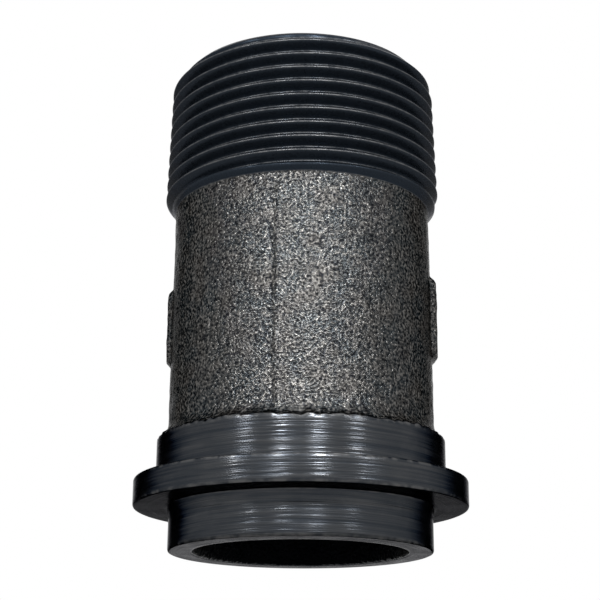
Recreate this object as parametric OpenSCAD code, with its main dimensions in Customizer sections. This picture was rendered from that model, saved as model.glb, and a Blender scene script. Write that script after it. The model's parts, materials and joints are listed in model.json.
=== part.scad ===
// Gas meter swivel connector: the tailpiece, one piece of malleable iron.
// It stands on its spigot, with the pipe thread upwards. The origin is the middle of the end
// face, +Z runs up the bore, and the side that is seen first looks along -Y. All in millimetres.

/* [Pipe thread] */
// Threads per inch of the taper pipe thread
thread_tpi = 11.5; // [10:0.5:18]
// Diameter over the crests at the small end
thread_d = 41.1; // [40:0.1:43]
// Length of the threaded stretch, from the barrel to the end face
thread_len = 22.4; // [16:0.2:30]
// Taper: the diameter grows by 1 mm in this many millimetres of length
thread_taper = 16; // [14:1:40]
// Width of the flats on the crests and in the roots
thread_flat = 0.18; // [0.12:0.01:0.26]
// Angle between the two flanks of a thread
thread_angle = 60; // [55:1:60]
// Chamfer that leads into the thread, measured along the radius
lead_chamfer = 2.0; // [0.5:0.1:2.4]
// Length of the cone that ends the thread at the barrel
shoulder_len = 1.6; // [0.8:0.1:3]
// Turn of the whole thread about the axis, in degrees
thread_turn = 74.6; // [0:0.2:359]

/* [Cast barrel] */
// Diameter of the rough barrel just below the thread
barrel_top_d = 39.2; // [38:0.1:39.6]
// Diameter of the rough barrel at its foot, with the draft of the casting
barrel_foot_d = 39.5; // [38:0.1:40]
// Length of the barrel, from the ring to the thread
barrel_len = 35.9; // [28:0.1:60]
// Radius of the cast fillet between the barrel and the ring
foot_fillet_r = 2.65; // [2.2:0.05:4]

/* [Parting line] */
// Width of the seam that the two halves of the mould leave
seam_w = 0.9; // [0.5:0.1:2]
// Height of the seam above the barrel
seam_h = 0.2; // [0.1:0.05:0.6]
// Place of the seam round the barrel, clockwise from the side seen first
seam_turn = 10.7; // [0:0.1:60]
// Plain stretch between the seam and the thread
seam_gap = 1.5; // [0.5:0.5:6]

/* [Side pads] */
// Length of each raised cast pad, along the barrel
pad_len = 13; // [8:0.5:18]
// Width of each pad, across the barrel
pad_w = 13; // [8:0.5:18]
// Radius of the corners of a pad
pad_corner_r = 2.5; // [1:0.5:3.5]
// Height of the pads above the foot of the barrel, measured along the radius
pad_rise = 0.9; // [0.5:0.1:2]
// Height of the right pad's middle above the end face
pad_right_z = 35.1; // [30:0.1:40]
// Height of the left pad's middle above the end face
pad_left_z = 33.6; // [30:0.1:40]
// Place of the right pad round the barrel, anticlockwise from the side seen first
pad_right_turn = 98.5; // [70:0.5:120]
// Place of the left pad round the barrel, clockwise from the side seen first
pad_left_turn = 101; // [70:0.5:120]

/* [Bearing ring] */
// Diameter of the turned ring that centres the nut
ring_d = 42.7; // [41.8:0.1:45]
// Length of the turned ring
ring_len = 5.9; // [3:0.1:12]

/* [Flange] */
// Diameter of the turned flange that the nut draws against the meter
flange_d = 49.2; // [47:0.1:56]
// Thickness of the flange
flange_t = 3.85; // [2:0.05:8]
// Broken edges of the flange and the spigot
edge_break = 0.25; // [0.1:0.05:0.6]

/* [Spigot] */
// Diameter of the turned spigot that centres the washer
spigot_d = 38.7; // [37:0.1:40.5]
// Length of the spigot, from the end face to the flange
spigot_len = 6.35; // [4:0.05:12]
// Length of the slight cone at the root of the spigot
root_len = 1.5; // [0.5:0.1:3]
// Growth of the radius along that cone
root_rise = 0.25; // [0.1:0.05:0.6]

/* [Bore] */
// Diameter of the straight bore
bore_d = 31.1; // [26:0.1:33]
// Broken edges at both mouths of the bore
bore_edge = 0.3; // [0.1:0.05:0.8]

/* [Hidden] */
$fn = 96;
iron = [0.15, 0.16, 0.17];

// Levels up the axis
flange_z = spigot_len;
ring_z = flange_z + flange_t;
barrel_z = ring_z + ring_len;
thread_z = barrel_z + barrel_len;
end_z = thread_z + thread_len;

// Radii that several shapes share
barrel_top_r = barrel_top_d / 2;
barrel_foot_r = barrel_foot_d / 2;
ring_r = ring_d / 2;
flange_r = flange_d / 2;
spigot_r = spigot_d / 2;
pad_r = barrel_foot_r + pad_rise;

// The thread: a sharp profile of this pitch, cut back by the flats at its crests and roots
inch = 25.4;
pitch = inch / thread_tpi;
flank_len = pitch / 2 - thread_flat;
thread_depth = flank_len / tan(thread_angle / 2);

// Radius over the crests at height z
function crest_r(z) = thread_d / 2 + (end_z - z) / (2 * thread_taper);

// Points along a cast fillet that leaves the barrel upright and ends at the ring
fillet_rise = ring_r - barrel_foot_r;
fillet_len = sqrt(foot_fillet_r ^ 2 - (foot_fillet_r - fillet_rise) ^ 2);
fillet_steps = 8;
fillet_sweep = asin(fillet_len / foot_fillet_r);
function fillet_point(part) = [
    barrel_foot_r + foot_fillet_r * (1 - cos(part * fillet_sweep)),
    barrel_z + fillet_len - foot_fillet_r * sin(part * fillet_sweep)
];

// Half of the turned and cast outline, from the end face up to the thread's end
module blank() {
    rotate_extrude()
        polygon(concat(
            [
                [0, 0],
                [spigot_r - edge_break, 0],
                [spigot_r, edge_break],
                [spigot_r, flange_z - root_len],
                [spigot_r + root_rise, flange_z],
                [flange_r - edge_break, flange_z],
                [flange_r, flange_z + edge_break],
                [flange_r, ring_z - edge_break],
                [flange_r - edge_break, ring_z],
                [ring_r, ring_z]
            ],
            [for (i = [fillet_steps : -1 : 0]) fillet_point(i / fillet_steps)],
            [
                [barrel_top_r, thread_z],
                [crest_r(thread_z + shoulder_len), thread_z + shoulder_len],
                [crest_r(end_z - lead_chamfer), end_z - lead_chamfer],
                [crest_r(end_z) - lead_chamfer, end_z],
                [0, end_z]
            ]
        ));
}

// The groove between the threads: a tapered trough with a flat bottom, wound down the thread.
// It starts in the air a turn above the end face, and near the shoulder it climbs out of the iron
// over a third of a turn. Its mouth stands clear of the crests, which its chords would else graze.
groove_steps = 48;
groove_out_steps = 16;
groove_clear = 0.08;
groove_lift = thread_depth + 5 * groove_clear;
groove_top_z = end_z + pitch;
groove_end_z = thread_z + pitch / 4;
groove_count = ceil((groove_top_z - groove_end_z) / pitch * groove_steps);
mouth_half = thread_flat / 2 + (thread_depth + groove_clear) * tan(thread_angle / 2);
chord_gain = 1 / cos(180 / groove_steps);

function groove_height(i) = groove_top_z - pitch * i / groove_steps;
function groove_rise(i) = groove_lift * max(0, 1 - (groove_count - i) / groove_out_steps);
function groove_section(i) =
    let (
        z = groove_height(i),
        out = groove_clear + groove_rise(i),
        low_r = (crest_r(z - mouth_half) + out) * chord_gain,
        high_r = (crest_r(z + mouth_half) + out) * chord_gain,
        root_r = crest_r(z) - thread_depth + groove_rise(i),
        turn = thread_turn - 360 * i / groove_steps
    )
    [for (p = [[low_r, -mouth_half], [root_r, -thread_flat / 2],
               [root_r, thread_flat / 2], [high_r, mouth_half]])
        [p[0] * cos(turn), p[0] * sin(turn), z + p[1]]];

module groove() {
    corners = 4;
    polyhedron(
        points = [for (i = [0 : groove_count]) each groove_section(i)],
        faces = concat(
            [[0, 2, 1], [0, 3, 2]],
            [for (i = [0 : groove_count - 1], k = [0 : corners - 1])
                let (
                    a = corners * i + k,
                    b = corners * i + (k + 1) % corners,
                    c = a + corners,
                    d = b + corners
                )
                each [[a, b, c], [b, d, c]]],
            [let (e = corners * groove_count) each [[e, e + 1, e + 2], [e, e + 2, e + 3]]]
        )
    );
}

// A raised line along the barrel where the halves of the mould met. It sinks into the fillet at
// the foot and stops short of the thread.
module seam(turn) {
    rotate(turn)
        translate([-seam_w / 2, -(barrel_foot_r + seam_h), barrel_z])
            cube([seam_w, foot_fillet_r, barrel_len - seam_gap]);
}

// Corner points of a rectangle with round corners
function rounded_outline(w, l, r, steps = 5) = [
    for (corner = [0 : 3], i = [0 : steps])
        let (
            a = 90 * (corner + i / steps),
            x = (corner == 0 || corner == 3 ? 1 : -1) * (w / 2 - r),
            y = (corner < 2 ? 1 : -1) * (l / 2 - r)
        )
        [x + r * cos(a), y + r * sin(a)]
];

// A blank pad that follows the barrel, standing on the cast skin
module pad(turn, z) {
    intersection() {
        translate([0, 0, z - pad_len])
            cylinder(r = pad_r, h = 2 * pad_len);
        rotate(turn)
            translate([0, -barrel_top_r / 2, z])
                rotate([90, 0, 0])
                    linear_extrude(barrel_foot_r)
                        polygon(rounded_outline(pad_w, pad_len, pad_corner_r));
    }
}

// The straight bore, with both mouths broken at 45 degrees
module bore() {
    bore_r = bore_d / 2;
    over = 1;
    rotate_extrude()
        polygon([
            [0, -over],
            [bore_r + bore_edge + over, -over],
            [bore_r, bore_edge],
            [bore_r, end_z - bore_edge],
            [bore_r + bore_edge + over, end_z + over],
            [0, end_z + over]
        ]);
}

module tailpiece() {
    color(iron)
        difference() {
            union() {
                blank();
                seam(-seam_turn);
                seam(180 - seam_turn);
                pad(pad_right_turn, pad_right_z);
                pad(-pad_left_turn, pad_left_z);
            }
            groove();
            bore();
        }
}

tailpiece();
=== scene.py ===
"""The tailpiece of a gas meter swivel: one casting, turned at its foot and threaded at its top.

Lengths are in millimetres until a mesh is built. Azimuth is measured round the bore, from the side
that the camera sees, and grows towards +X, which is to the right.
"""
import json
import math

import bpy
import numpy as np
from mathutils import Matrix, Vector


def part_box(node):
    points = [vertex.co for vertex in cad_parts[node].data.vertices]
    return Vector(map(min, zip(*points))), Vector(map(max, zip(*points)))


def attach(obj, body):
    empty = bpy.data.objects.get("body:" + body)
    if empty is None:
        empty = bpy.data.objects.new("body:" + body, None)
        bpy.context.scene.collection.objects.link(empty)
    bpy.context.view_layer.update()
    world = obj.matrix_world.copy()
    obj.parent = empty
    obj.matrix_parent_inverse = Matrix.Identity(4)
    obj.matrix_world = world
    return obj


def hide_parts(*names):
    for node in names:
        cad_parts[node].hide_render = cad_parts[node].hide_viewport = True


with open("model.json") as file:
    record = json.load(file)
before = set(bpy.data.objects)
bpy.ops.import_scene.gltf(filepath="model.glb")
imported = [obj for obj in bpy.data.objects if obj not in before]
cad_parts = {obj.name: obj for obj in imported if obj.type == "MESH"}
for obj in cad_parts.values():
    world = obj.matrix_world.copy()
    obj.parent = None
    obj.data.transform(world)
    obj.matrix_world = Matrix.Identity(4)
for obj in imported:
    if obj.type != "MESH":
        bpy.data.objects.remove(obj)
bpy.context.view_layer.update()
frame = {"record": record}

MM = 0.001
MOUNTS = {m["name"]: m for m in frame["record"]["mounts"]}


def fitted_radius(name):
    """The radius that a mount of the record gives, in millimetres."""
    return MOUNTS[name]["dims"]["r_mm"]


def level(name):
    """The height of a mount above the end face, in millimetres."""
    return MOUNTS[name]["pos_m"][2] / MM


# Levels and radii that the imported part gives
LOW, HIGH = (np.array(corner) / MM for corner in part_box("tailpiece"))
END_Z = HIGH[2]
FLANGE_R = (HIGH[0] - LOW[0]) / 2
BORE_R = fitted_radius("bore")
SPIGOT_R = fitted_radius("spigot")
RING_R = fitted_radius("nut_ring")
RING_LEN = MOUNTS["nut_ring"]["dims"]["length_mm"]
FLANGE_Z = level("washer_seat")
RING_Z = level("nut_seat")
BARREL_Z = RING_Z + RING_LEN

# The turned foot
EDGE_BREAK = 0.25
BORE_EDGE = 0.3
ROOT_LEN = 1.5
ROOT_RISE = 0.25

# The cast barrel
BARREL_FOOT_R = 19.75
BARREL_TOP_R = 19.6
FILLET_R = 2.65
BARREL_LEN = 35.9
SHOULDER_Z = BARREL_Z + BARREL_LEN
SHOULDER_LEN = 1.6

# The taper pipe thread
PITCH = 25.4 / 11.5
THREAD_R = 20.55
TAPER = 16
FLAT = 0.18
DEPTH = (PITCH / 2 - FLAT) / math.tan(math.radians(30))
CREST_Z = 72.29
LEAD_CHAMFER = 2.0

# How finely the skin is made: columns round the bore
COLUMNS = 400


def smooth(x):
    """Rises from 0 to 1 as x does, level at both ends."""
    t = np.clip(x, 0, 1)
    return t * t * (3 - 2 * t)


def bump_at(x, middle, half):
    """A smooth hill of height 1 at middle, which is gone half away from it."""
    return smooth(1 - np.abs(x - middle) / half)


def lattice_noise(points, cell, seed):
    """Random values from -1 to 1 on a cubic lattice of that cell, smoothly blended between its corners."""
    table = np.random.RandomState(seed).uniform(-1, 1, 4096)
    scaled = points / cell
    corner = np.floor(scaled).astype(np.int64)
    t = scaled - corner
    t = t * t * (3 - 2 * t)
    total = np.zeros(len(points))
    for dx in (0, 1):
        for dy in (0, 1):
            for dz in (0, 1):
                x, y, z = corner[:, 0] + dx, corner[:, 1] + dy, corner[:, 2] + dz
                value = table[(x * 73856093 ^ y * 19349663 ^ z * 83492791) & 4095]
                weight = np.abs(1 - dx - t[:, 0]) * np.abs(1 - dy - t[:, 1]) * np.abs(1 - dz - t[:, 2])
                total += value * weight
    return total


def crest_r(z):
    """Radius over the crests at height z."""
    return THREAD_R + (END_Z - z) / (2 * TAPER)


def steps(first, last, count):
    """count values from first towards last, without last."""
    return np.linspace(first, last, count, endpoint=False)


def foot_profile():
    """Rows of the turned foot from the bore's mouth to the ring's top: radius, height and how sharp an edge is there,
    which the turned finish paints brighter, partly as wear and partly as a painted highlight.
    """
    br = EDGE_BREAK
    wall = np.array([[0.0, 0.0]])
    rows = [(BORE_R + BORE_EDGE, 0, 1)]
    rows += [(r, 0, 0) for r in np.linspace(BORE_R + 0.7, SPIGOT_R - br - 0.15, 5)]
    rows += [(SPIGOT_R - br, 0, 0.6), (SPIGOT_R - 0.3 * br, 0.3 * br, 1), (SPIGOT_R, br, 0.6)]
    rows += [(SPIGOT_R, z, 0) for z in np.linspace(br + 0.3, FLANGE_Z - ROOT_LEN - 0.1, 6)]
    rows += [(SPIGOT_R, FLANGE_Z - ROOT_LEN, 0)]
    rows += [(SPIGOT_R + ROOT_RISE * t, FLANGE_Z - ROOT_LEN * (1 - t), 0) for t in (0.15, 0.5, 0.85)]
    # The edge marks at the flange's root give a painted highlight line along that inner corner.
    rows += [(SPIGOT_R + ROOT_RISE, FLANGE_Z - 0.05, 0.5), (SPIGOT_R + ROOT_RISE + 0.08, FLANGE_Z, 0.5)]
    rows += [(r, FLANGE_Z, 0) for r in np.linspace(SPIGOT_R + 0.8, FLANGE_R - br - 0.3, 4)]
    rows += [(FLANGE_R - br, FLANGE_Z, 0.5), (FLANGE_R - 0.3 * br, FLANGE_Z + 0.3 * br, 1), (FLANGE_R, FLANGE_Z + br, 0.6)]
    rows += [(FLANGE_R, z, 0) for z in np.linspace(FLANGE_Z + br + 0.3, RING_Z - br - 0.3, 5)]
    rows += [(FLANGE_R, RING_Z - br, 0.6), (FLANGE_R - 0.3 * br, RING_Z - 0.3 * br, 1), (FLANGE_R - br, RING_Z, 0.5)]
    rows += [(FLANGE_R - 1.2, RING_Z, 0), (RING_R + 0.5, RING_Z, 0), (RING_R + 0.06, RING_Z, 0), (RING_R, RING_Z + 0.08, 0)]
    rows += [(RING_R, z, 0) for z in np.linspace(RING_Z + 0.6, BARREL_Z - 0.5, 8)]
    rows += [(RING_R, BARREL_Z - 0.12, 0.7), (RING_R - 0.05, BARREL_Z, 1)]
    return np.array(rows, float)


def fillet_profile(count=7):
    """Rows of the cast fillet, an arc that leaves the ring steeply and meets the barrel upright."""
    rise = RING_R - BARREL_FOOT_R
    length = math.sqrt(FILLET_R**2 - (FILLET_R - rise) ** 2)
    angle = math.asin(length / FILLET_R) * (1 - np.arange(1, count + 1) / count)
    r = BARREL_FOOT_R + FILLET_R * (1 - np.cos(angle))
    z = BARREL_Z + length - FILLET_R * np.sin(angle)
    return np.stack([r, z, 0 * r], 1)


def barrel_profile(count=64):
    """Rows of the rough barrel, which narrows a little towards the thread, without its first row."""
    z0 = fillet_profile()[-1, 1]
    t = np.arange(1, count + 1) / count
    r = BARREL_FOOT_R + (BARREL_TOP_R - BARREL_FOOT_R) * t
    return np.stack([r, z0 + (SHOULDER_Z - z0) * t, 0 * t], 1)


def closing_profile():
    """Rows from the chamfer's top edge over the end and down the bore, back to the first row of the foot."""
    top_r = crest_r(END_Z) - LEAD_CHAMFER
    rows = [(r, END_Z, 0) for r in np.linspace(top_r - 0.2, BORE_R + BORE_EDGE, 5)[:-1]]
    rows += [(BORE_R + BORE_EDGE, END_Z, 1)]
    rows += [(BORE_R, z, 0) for z in np.linspace(END_Z - BORE_EDGE, BORE_EDGE, 18)]
    rows += [(BORE_R + BORE_EDGE, 0, 1)]
    return np.array(rows, float)


def blank_r(z):
    """Radius of the turned blank from the shoulder to the end: a cone, the long taper and the lead chamfer."""
    shoulder = BARREL_TOP_R + (crest_r(SHOULDER_Z + SHOULDER_LEN) - BARREL_TOP_R) * (z - SHOULDER_Z) / SHOULDER_LEN
    chamfer = crest_r(END_Z) - LEAD_CHAMFER + (END_Z - z)
    return np.minimum(np.minimum(shoulder, crest_r(z)), chamfer)


def thread_rows(azimuth):
    """Height and radius of the threaded stretch, rows by columns.

    Each row climbs by one pitch a turn, so that rows run along the crests and roots. Rows that
    would pass the shoulder or the end face are held there. The radius is that of the blank, or of
    the groove where that is less: sloping flanks between narrow flats, with the bottom rising near
    the shoulder where the die let go.
    """
    across = np.array([-0.06, -0.022, 0.022, 0.06, 0.17, 0.33, 0.455, 0.545, 0.67, 0.83])
    turns = np.arange(-1, math.ceil((END_Z - SHOULDER_Z) / PITCH) + 1)
    last_crest = CREST_Z - PITCH * round((CREST_Z - SHOULDER_Z) / PITCH)
    base = (last_crest + PITCH * (turns[:, None] + across[None, :])).ravel()
    climb = PITCH * azimuth / (2 * math.pi)
    z = base[:, None] + climb[None, :]
    held = np.clip(z, SHOULDER_Z, END_Z)
    phase = np.abs((held - CREST_Z - climb[None, :]) / PITCH)
    off = np.abs(phase - np.round(phase)) * PITCH
    down = np.clip(off - FLAT / 2, 0, PITCH / 2 - FLAT) / math.tan(math.radians(30))
    down = np.minimum(down, DEPTH)
    lift = 1.6 * np.clip(SHOULDER_Z + 1.15 - held, 0, None)
    groove = crest_r(held) - down + lift
    return held, np.minimum(blank_r(held), groove)


def skin_grid():
    """The whole skin as one grid of rows by columns, from the foot's inner edge up, over and down the bore.

    Returns azimuth, radius and height of every point, an edge mark, and the part that each row belongs to.
    """
    azimuth = np.linspace(-math.pi, math.pi, COLUMNS + 1)
    flat_rows = {}
    flat_rows["foot"] = foot_profile()
    flat_rows["cast"] = np.concatenate([fillet_profile(), barrel_profile()])
    flat_rows["inside"] = closing_profile()
    wide = {k: [np.repeat(v[:, i : i + 1], COLUMNS + 1, 1) for i in range(3)] for k, v in flat_rows.items()}
    z_thread, r_thread = thread_rows(azimuth)
    wide["thread"] = [r_thread, z_thread, 0 * z_thread]
    order = ["foot", "cast", "thread", "inside"]
    r, z, edge = (np.concatenate([wide[k][i] for k in order]) for i in range(3))
    part = np.concatenate([np.full(len(wide[k][0]), i) for i, k in enumerate(order)])
    return np.broadcast_to(azimuth, r.shape), r, z, edge, part


def place(azimuth, r, z):
    """Points at an azimuth, radius and height."""
    return np.stack([r * np.sin(azimuth), -r * np.cos(azimuth), z], -1)


def weathered(azimuth, r, z, part):
    """The radius with what the foundry did to it: lumps, the parting line and side pads."""
    p = place(azimuth, r, z).reshape(-1, 3)
    shape = r.shape

    def noise(cell, seed):
        return lattice_noise(p, cell, seed).reshape(shape)

    deg = np.degrees(azimuth)
    cast = smooth((z - BARREL_Z) / 1.2) * smooth((SHOULDER_Z + 0.3 - z) / 0.5) * (part[:, None] < 3)
    lumps = 0.07 * noise(9, 1) + 0.05 * noise(2.6, 2) + 0.045 * noise(0.95, 3) + 0.03 * noise(0.6, 4)
    r = r + cast * lumps
    # The halves of the mould met a little out of line: a low ridge with a shallow ditch on its left
    for line, size in ((-10.3, 1.0), (169.7, 1.0)):
        turn = (deg - line + 180) % 360 - 180
        turn = turn - 0.8 * noise(3, 5)
        ridge = 0.2 * bump_at(turn, 0.4, 1.9) - 0.12 * bump_at(turn, -2.1, 1.6)
        step = 0.07 * smooth((turn + 1) / 2) * smooth((16 - turn) / 14)
        along = smooth((z - 17) / 1.2) * smooth((SHOULDER_Z - 1.2 - z) / 1.2)
        r = r + size * cast * along * (ridge * (0.75 + 0.5 * noise(1.7, 6)) + step)
    # A low blank pad on each side
    for middle, centre_z, half_len, rise in ((98.5, 35.1, 6.5, 0.9), (-101, 33.6, 6.0, 0.65)):
        turn = (deg - middle + 180) % 360 - 180
        across = smooth((19 - np.abs(turn)) / 2.2)
        up = smooth((half_len - np.abs(z - centre_z)) / 0.9)
        r = r + cast * rise * across * up * (1 + 0.15 * noise(2.2, 7))
    return r


def edge_of_cut(azimuth, z, part):
    """Height with a ragged line where the turning tool ran out on the rough fillet."""
    p = place(azimuth, np.full(z.shape, RING_R), 0 * z).reshape(-1, 3)
    ragged = 0.16 * lattice_noise(p, 1.1, 11) + 0.14 * lattice_noise(p, 0.55, 12) + 0.2 * lattice_noise(p, 9, 13)
    near = smooth((z - BARREL_Z + 0.9) / 0.9) * smooth((BARREL_Z + 2.0 - z) / 1.6) * (part[:, None] < 2)
    return z + near * ragged.reshape(z.shape)


def sealed(points, rows, columns):
    """Merges points that fall together and gives the grid's faces: quads, and triangles where a side has shrunk away."""
    key = np.round(points.reshape(-1, 3) * 1e4).astype(np.int64)
    _, first, index = np.unique(key, axis=0, return_index=True, return_inverse=True)
    index = index.reshape(rows, columns)
    a, b = index[:-1, :-1].ravel(), index[:-1, 1:].ravel()
    c, d = index[1:, 1:].ravel(), index[1:, :-1].ravel()
    row = np.repeat(np.arange(rows - 1), columns - 1)
    whole = (a != b) & (b != c) & (c != d) & (d != a) & (a != c) & (b != d)
    quads = np.stack([a, b, c, d], 1)[whole]
    corners = np.stack([a, b, c, d], 1)[~whole]
    left = row[~whole]
    same = corners == np.roll(corners, -1, 1)
    once = same.sum(1) == 1
    corners, left, same = corners[once], left[once], same[once]
    drop = np.argmax(same, 1)
    keep = np.array([[(k + i) % 4 for i in (1, 2, 3)] for k in range(4)])[drop]
    triangles = np.take_along_axis(corners, keep, 1)
    return first, quads, row[whole], triangles, left


FINISHES = ["turned_iron", "cast_skin", "cut_thread", "bore_wall"]


def make_tailpiece(materials):
    """The skin as one closed mesh, with a finish for each stretch and its marks as point attributes."""
    azimuth, r, z, edge, part = skin_grid()
    base = place(azimuth, r, z)
    first, quads, quad_row, triangles, triangle_row = sealed(base, *r.shape)
    new_z = edge_of_cut(azimuth, z, part)
    new_r = weathered(azimuth, r, new_z, part)
    points = place(azimuth, new_r, new_z).reshape(-1, 3)[first] * MM
    mesh = bpy.data.meshes.new("tailpiece_skin")
    mesh.from_pydata(points.tolist(), [], quads.tolist() + triangles.tolist())
    for name in FINISHES:
        mesh.materials.append(materials[name])
    mesh.polygons.foreach_set("material_index", part[np.concatenate([quad_row, triangle_row])].astype(np.int32))
    mesh.polygons.foreach_set("use_smooth", np.ones(len(mesh.polygons), bool))
    # The crest mark runs from the roots to the crests; the thread's colour uses it for painted shade in the grooves and
    # a painted highlight at the roots.
    on_thread = (part == 2)[:, None] & np.ones(r.shape, bool)
    height = np.where(on_thread, (r - crest_r(z) + DEPTH) / DEPTH, 0)
    # The edge mark brightens the turned colour, partly as wear and partly as a painted highlight.
    for name, values in (("crest", height), ("edge", edge)):
        layer = mesh.attributes.new(name, "FLOAT", "POINT")
        layer.data.foreach_set("value", np.clip(values, 0, 1).reshape(-1)[first].astype(np.float32))
    piece = bpy.data.objects.new("tailpiece_skin", mesh)
    bpy.context.scene.collection.objects.link(piece)
    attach(piece, "root")
    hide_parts("tailpiece")
    return piece


class Nodes:
    """Adds shader nodes to a tree and joins them."""

    def __init__(self, tree):
        self.tree = tree
        self.tree.nodes.clear()

    def add(self, kind, inputs=None, **settings):
        node = self.tree.nodes.new(kind)
        for name, value in settings.items():
            setattr(node, name, value)
        for name, value in (inputs or {}).items():
            self.give(node.inputs[name], value)
        return node

    def give(self, socket, value):
        if isinstance(value, bpy.types.NodeSocket):
            self.tree.links.new(value, socket)
        else:
            socket.default_value = value

    def math(self, operation, *values, clamp=False):
        node = self.add("ShaderNodeMath", operation=operation, use_clamp=clamp)
        for socket, value in zip(node.inputs, values):
            self.give(socket, value)
        return node.outputs[0]

    def range(self, value, low, high, to_low=0.0, to_high=1.0):
        node = self.add("ShaderNodeMapRange", clamp=True)
        for socket, v in zip(node.inputs, (value, low, high, to_low, to_high)):
            self.give(socket, v)
        return node.outputs[0]

    def mix(self, factor, first, second):
        node = self.add("ShaderNodeMix", data_type="RGBA")
        self.give(node.inputs["Factor"], factor)
        self.give(node.inputs["A"], first)
        self.give(node.inputs["B"], second)
        return node.outputs["Result"]

    def noise(self, vector, scale, detail=2.0, roughness=0.5):
        settings = {"Vector": vector, "Scale": scale, "Detail": detail, "Roughness": roughness}
        return self.add("ShaderNodeTexNoise", settings).outputs["Fac"]


def new_group(name, inputs, outputs):
    """An empty shader group with those float inputs and outputs."""
    tree = bpy.data.node_groups.new(name, "ShaderNodeTree")
    for socket in inputs:
        tree.interface.new_socket(socket, in_out="INPUT", socket_type="NodeSocketFloat")
    for socket in outputs:
        tree.interface.new_socket(socket, in_out="OUTPUT", socket_type="NodeSocketFloat")
    nodes = Nodes(tree)
    return tree, nodes, nodes.add("NodeGroupInput"), nodes.add("NodeGroupOutput")


def sand_grain_group():
    """The skin that a sand mould leaves: packed grains and pits on low lumps. Size is one grain's, in metres."""
    tree, n, given, out = new_group("sand_grain", ["Size"], ["Height", "Pits", "Peaks", "Patches"])
    here = n.add("ShaderNodeTexCoord").outputs["Object"]
    per_metre = n.math("DIVIDE", 1.0, given.outputs["Size"])
    fine = n.noise(here, per_metre, 1.0, 0.5)
    coarse = n.noise(here, n.math("MULTIPLY", per_metre, 0.35), 1.0)
    height = n.math("ADD", n.math("MULTIPLY", fine, 1.3), n.math("MULTIPLY", coarse, 0.9))
    n.give(out.inputs["Height"], height)
    # Pits marks the low grains, where the skin's colour is darkened as painted shade.
    n.give(out.inputs["Pits"], n.range(fine, 0.32, 0.48, 1.0, 0.0))
    # Peaks marks the high grains, which get bright colour: partly worn metal, partly a painted glint.
    n.give(out.inputs["Peaks"], n.range(fine, 0.50, 0.68))
    n.give(out.inputs["Patches"], n.range(n.noise(here, 260.0, 3.0), 0.35, 0.65))
    return tree


def turning_lines_group():
    """Fine rings that a lathe tool leaves: noise stretched round the bore, so that it changes with radius and height."""
    tree, n, given, out = new_group("turning_lines", ["Pitch"], ["Height", "Streaks"])
    here = n.add("ShaderNodeTexCoord").outputs["Object"]
    xyz = n.add("ShaderNodeSeparateXYZ", {"Vector": here})
    x, y, z = (xyz.outputs[i] for i in range(3))
    r = n.math("SQRT", n.math("ADD", n.math("MULTIPLY", x, x), n.math("MULTIPLY", y, y)))
    per_metre = n.math("DIVIDE", 1.0, given.outputs["Pitch"])
    drift = 60.0

    def rings(density):
        fast_r = n.math("MULTIPLY_ADD", r, density, n.math("MULTIPLY", x, drift))
        fast_z = n.math("MULTIPLY_ADD", z, density, n.math("MULTIPLY", y, drift))
        slow = n.math("MULTIPLY", n.math("SUBTRACT", x, y), drift)
        vector = n.add("ShaderNodeCombineXYZ", {"X": fast_r, "Y": fast_z, "Z": slow})
        return n.noise(vector.outputs[0], 1.0, 2.0)

    fine = rings(per_metre)
    broad = rings(n.math("MULTIPLY", per_metre, 0.28))
    n.give(out.inputs["Height"], n.math("ADD", n.math("MULTIPLY", fine, 0.5), broad))
    n.give(out.inputs["Streaks"], n.range(n.math("ADD", fine, broad), 0.75, 1.25))
    return tree


def new_material(name):
    """A material with one Principled shader, and the nodes to build on."""
    material = bpy.data.materials.new(name)
    material.use_nodes = True
    n = Nodes(material.node_tree)
    out = n.add("ShaderNodeOutputMaterial")
    shader = n.add("ShaderNodeBsdfPrincipled")
    n.give(out.inputs["Surface"], shader.outputs[0])
    return material, n, shader


def placed(n, tree, **inputs):
    """One copy of a shared group in a material."""
    node = n.add("ShaderNodeGroup", node_tree=tree)
    for name, value in inputs.items():
        n.give(node.inputs[name], value)
    return node.outputs


def roughen(n, shader, height, distance, strength=1.0, base=None):
    """Raises the surface by a height, in metres, before the shader sees it."""
    bump = n.add("ShaderNodeBump", {"Height": height, "Distance": distance, "Strength": strength})
    if base is not None:
        n.give(bump.inputs["Normal"], base)
    n.give(shader.inputs["Normal"], bump.outputs[0])
    return bump.outputs[0]


def cast_skin(grain_tree):
    """Black iron as cast: sandy grain that glitters, with painted shade darkening its pits, bright grain tops that are
    partly worn metal and partly a painted glint, and a faint cool tint.
    """
    material, n, shader = new_material("cast_skin")
    grain = placed(n, grain_tree, Size=0.00037)
    colour = n.mix(grain["Patches"], (0.036, 0.041, 0.044, 1), (0.048, 0.046, 0.044, 1))
    # Bright colour on the grain tops: partly worn metal, partly a painted glint.
    colour = n.mix(grain["Peaks"], colour, (0.125, 0.121, 0.115, 1))
    # Painted shade: the pits are darkened in the colour.
    colour = n.mix(grain["Pits"], colour, (0.009, 0.010, 0.012, 1))
    n.give(shader.inputs["Base Color"], colour)
    shader.inputs["Metallic"].default_value = 1.0
    shader.inputs["Specular Tint"].default_value = (0.3, 0.3, 0.3, 1)
    n.give(shader.inputs["Roughness"], n.range(grain["Patches"], 0, 1, 0.20, 0.28))
    roughen(n, shader, grain["Height"], 0.00013)
    return material


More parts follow.
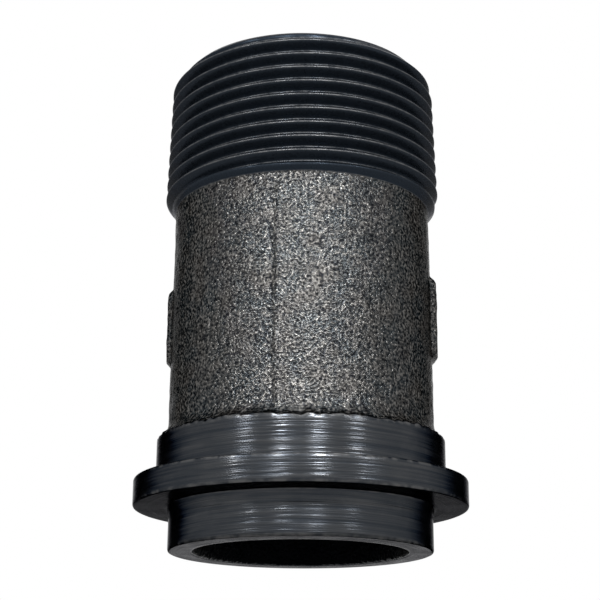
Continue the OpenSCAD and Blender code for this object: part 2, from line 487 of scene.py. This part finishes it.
def turned_iron(lines_tree):
    """Iron off the lathe, long since oxidised: rings of tool marks, and bright bare edges, partly from wear and partly
    a painted highlight.
    """
    material, n, shader = new_material("turned_iron")
    lines = placed(n, lines_tree, Pitch=0.00016)
    here = n.add("ShaderNodeTexCoord").outputs["Object"]
    cloud = n.range(n.noise(here, 180.0, 4.0, 0.6), 0.35, 0.65)
    colour = n.mix(lines["Streaks"], (0.030, 0.034, 0.040, 1), (0.060, 0.062, 0.065, 1))
    colour = n.mix(n.math("MULTIPLY", cloud, 0.45), colour, (0.022, 0.026, 0.032, 1))
    # Brighter colour on the marked edges: partly wear, partly a painted highlight, as at the flange's root.
    edge = n.add("ShaderNodeAttribute", attribute_name="edge").outputs["Fac"]
    worn_and_highlight = n.math("MULTIPLY", edge, n.range(n.noise(here, 700.0, 3.0), 0.42, 0.6))
    colour = n.mix(worn_and_highlight, colour, (0.12, 0.12, 0.12, 1))
    n.give(shader.inputs["Base Color"], colour)
    shader.inputs["Metallic"].default_value = 1.0
    shader.inputs["Specular Tint"].default_value = (0.15, 0.15, 0.16, 1)
    n.give(shader.inputs["Roughness"], n.range(cloud, 0, 1, 0.16, 0.26))
    roughen(n, shader, lines["Height"], 0.00005)
    return material


def cut_thread(lines_tree):
    """The thread: black, with painted shade darkening its grooves towards the roots, a painted highlight along the
    roots, and bare and bright along the crests.
    """
    material, n, shader = new_material("cut_thread")
    lines = placed(n, lines_tree, Pitch=0.00014)
    here = n.add("ShaderNodeTexCoord").outputs["Object"]
    crest = n.add("ShaderNodeAttribute", attribute_name="crest").outputs["Fac"]
    spots = n.range(n.noise(here, 900.0, 3.0), 0.35, 0.65)
    # Painted shade: the base colour darkens from the crests down to the roots of the grooves.
    colour = n.mix(n.range(crest, 0.0, 1.0), (0.013, 0.018, 0.025, 1), (0.020, 0.025, 0.032, 1))
    worn_and_highlight = n.math("MULTIPLY", n.range(crest, 0.95, 1.0), n.range(spots, 0, 1, 0.35, 1.0))
    # Painted highlight: brighter colour along the roots of the grooves.
    bottom = n.math("MULTIPLY", n.range(crest, 0.05, 0.0), n.range(spots, 0, 1, 0.2, 0.7))
    # From here the mask holds both wear on the crests and the painted highlight at the roots.
    worn_and_highlight = n.math("MAXIMUM", worn_and_highlight, bottom)
    colour = n.mix(worn_and_highlight, colour, (0.12, 0.122, 0.125, 1))
    n.give(shader.inputs["Base Color"], colour)
    n.give(shader.inputs["Metallic"], n.range(worn_and_highlight, 0, 1, 0.6, 1.0))
    shader.inputs["Specular IOR Level"].default_value = 0.15
    shader.inputs["Specular Tint"].default_value = (0.3, 0.3, 0.32, 1)
    n.give(shader.inputs["Roughness"], n.range(spots, 0, 1, 0.22, 0.34))
    roughen(n, shader, lines["Height"], 0.000015)
    return material


def bore_wall(grain_tree):
    """The gas way: rough and black."""
    material, n, shader = new_material("bore_wall")
    grain = placed(n, grain_tree, Size=0.0005)
    colour = n.mix(grain["Patches"], (0.010, 0.012, 0.014, 1), (0.016, 0.018, 0.021, 1))
    n.give(shader.inputs["Base Color"], colour)
    shader.inputs["Metallic"].default_value = 1.0
    n.give(shader.inputs["Roughness"], n.range(grain["Patches"], 0, 1, 0.3, 0.45))
    roughen(n, shader, grain["Height"], 0.0003)
    return material


def make_floor():
    """A pale floor that the part stands on, seen from above only, as the camera looks up from below it.

    The ring that the end face covers is left open, so that light from below reaches that face.
    """
    inner, outer, far = BORE_R + 0.2, SPIGOT_R - 0.3, 900.0
    turn = np.linspace(0, 2 * math.pi, 96, endpoint=False)
    rings = [np.stack([rad * np.cos(turn), rad * np.sin(turn), 0 * turn], 1) for rad in (inner, outer, far)]
    points = np.concatenate(rings) * MM
    count = len(turn)
    i = np.arange(count)
    j = (i + 1) % count
    apron = np.stack([count + i, 2 * count + i, 2 * count + j, count + j], 1)
    mesh = bpy.data.meshes.new("floor")
    mesh.from_pydata(points.tolist(), [], apron.tolist() + [list(range(count))])
    material = bpy.data.materials.new("floor_paint")
    material.use_nodes = True
    n = Nodes(material.node_tree)
    out = n.add("ShaderNodeOutputMaterial")
    paint = n.add("ShaderNodeBsdfDiffuse", {"Color": (0.82, 0.82, 0.82, 1)})
    clear = n.add("ShaderNodeBsdfTransparent")
    side = n.add("ShaderNodeNewGeometry").outputs["Backfacing"]
    choose = n.add("ShaderNodeMixShader", {0: side, 1: paint.outputs[0], 2: clear.outputs[0]})
    n.give(out.inputs["Surface"], choose.outputs[0])
    mesh.materials.append(material)
    floor = bpy.data.objects.new("floor", mesh)
    bpy.context.scene.collection.objects.link(floor)
    return floor


def make_world(level_for_light):
    """A white room for the eye and for reflections, and a softer one for the light on the part."""
    world = bpy.data.worlds.new("room")
    world.use_nodes = True
    bpy.context.scene.world = world
    n = Nodes(world.node_tree)
    path = n.add("ShaderNodeLightPath")
    seen = n.math("MAXIMUM", path.outputs["Is Camera Ray"], path.outputs["Is Glossy Ray"])
    seen = n.math("MAXIMUM", seen, path.outputs["Is Transmission Ray"])
    strength = n.range(seen, 0, 1, level_for_light, 1.0)
    back = n.add("ShaderNodeBackground", {"Color": (1, 1, 1, 1), "Strength": strength})
    n.give(n.add("ShaderNodeOutputWorld").inputs["Surface"], back.outputs[0])


def lamp(name, azimuth, elevation, distance, size, power, colour=(1, 1, 1), target_z=40.0):
    """A soft area lamp that faces the part, its place given in degrees and millimetres."""
    data = bpy.data.lights.new(name, "AREA")
    data.shape = "RECTANGLE"
    data.size, data.size_y = size[0] * MM, size[1] * MM
    data.energy = power
    data.color = colour
    made = bpy.data.objects.new(name, data)
    a, e = math.radians(azimuth), math.radians(elevation)
    away = np.array([math.sin(a) * math.cos(e), -math.cos(a) * math.cos(e), math.sin(e)])
    made.matrix_world = looking(away * distance + [0, 0, target_z], -away)
    bpy.context.scene.collection.objects.link(made)
    return made


def looking(position, forward, roll=0.0):
    """The matrix of a lamp or camera there, in metres, that looks forward and is rolled about its view."""
    from mathutils import Matrix

    f = np.array(forward, float) / np.linalg.norm(forward)
    right = np.cross(f, [0, 0, 1.0])
    right /= np.linalg.norm(right)
    up = np.cross(right, f)
    side = math.cos(roll) * right + math.sin(roll) * up
    top = -math.sin(roll) * right + math.cos(roll) * up
    m = np.eye(4)
    m[:3, 0], m[:3, 1], m[:3, 2], m[:3, 3] = side, top, -f, np.array(position) * MM
    return Matrix(m.tolist())


def make_camera():
    """The photograph's camera: just below the end face, looking up at the part."""
    pitch, yaw, roll = (math.radians(v) for v in (17.193, -0.070, 0.27))
    forward = (math.sin(yaw) * math.cos(pitch), math.cos(yaw) * math.cos(pitch), math.sin(pitch))
    data = bpy.data.cameras.new("camera")
    data.lens = 84.5
    data.sensor_width = 36.0
    data.clip_start = 0.01
    camera = bpy.data.objects.new("camera", data)
    camera.matrix_world = looking((0, -206.65, -25.32), forward, roll)
    bpy.context.scene.collection.objects.link(camera)
    bpy.context.scene.camera = camera


def main():
    make_camera()
    grain = sand_grain_group()
    lines = turning_lines_group()
    materials = {
        "turned_iron": turned_iron(lines),
        "cast_skin": cast_skin(grain),
        "cut_thread": cut_thread(lines),
        "bore_wall": bore_wall(grain),
    }
    make_tailpiece(materials)
    make_floor()
    make_world(0.25)
    lamp("left_strip", -14.6, 22, 600, (40, 100), 1.3)
    lamp("right_strip", 13.0, 22, 600, (40, 100), 1.5)
    lamp("left_far_strip", -44, 20, 600, (50, 100), 0.6)
    lamp("right_far_strip", 44, 20, 600, (50, 100), 0.6)
    lamp("top_soft", 20, 75, 700, (500, 500), 1.5)
    bpy.context.scene.view_settings.view_transform = "Standard"


main()
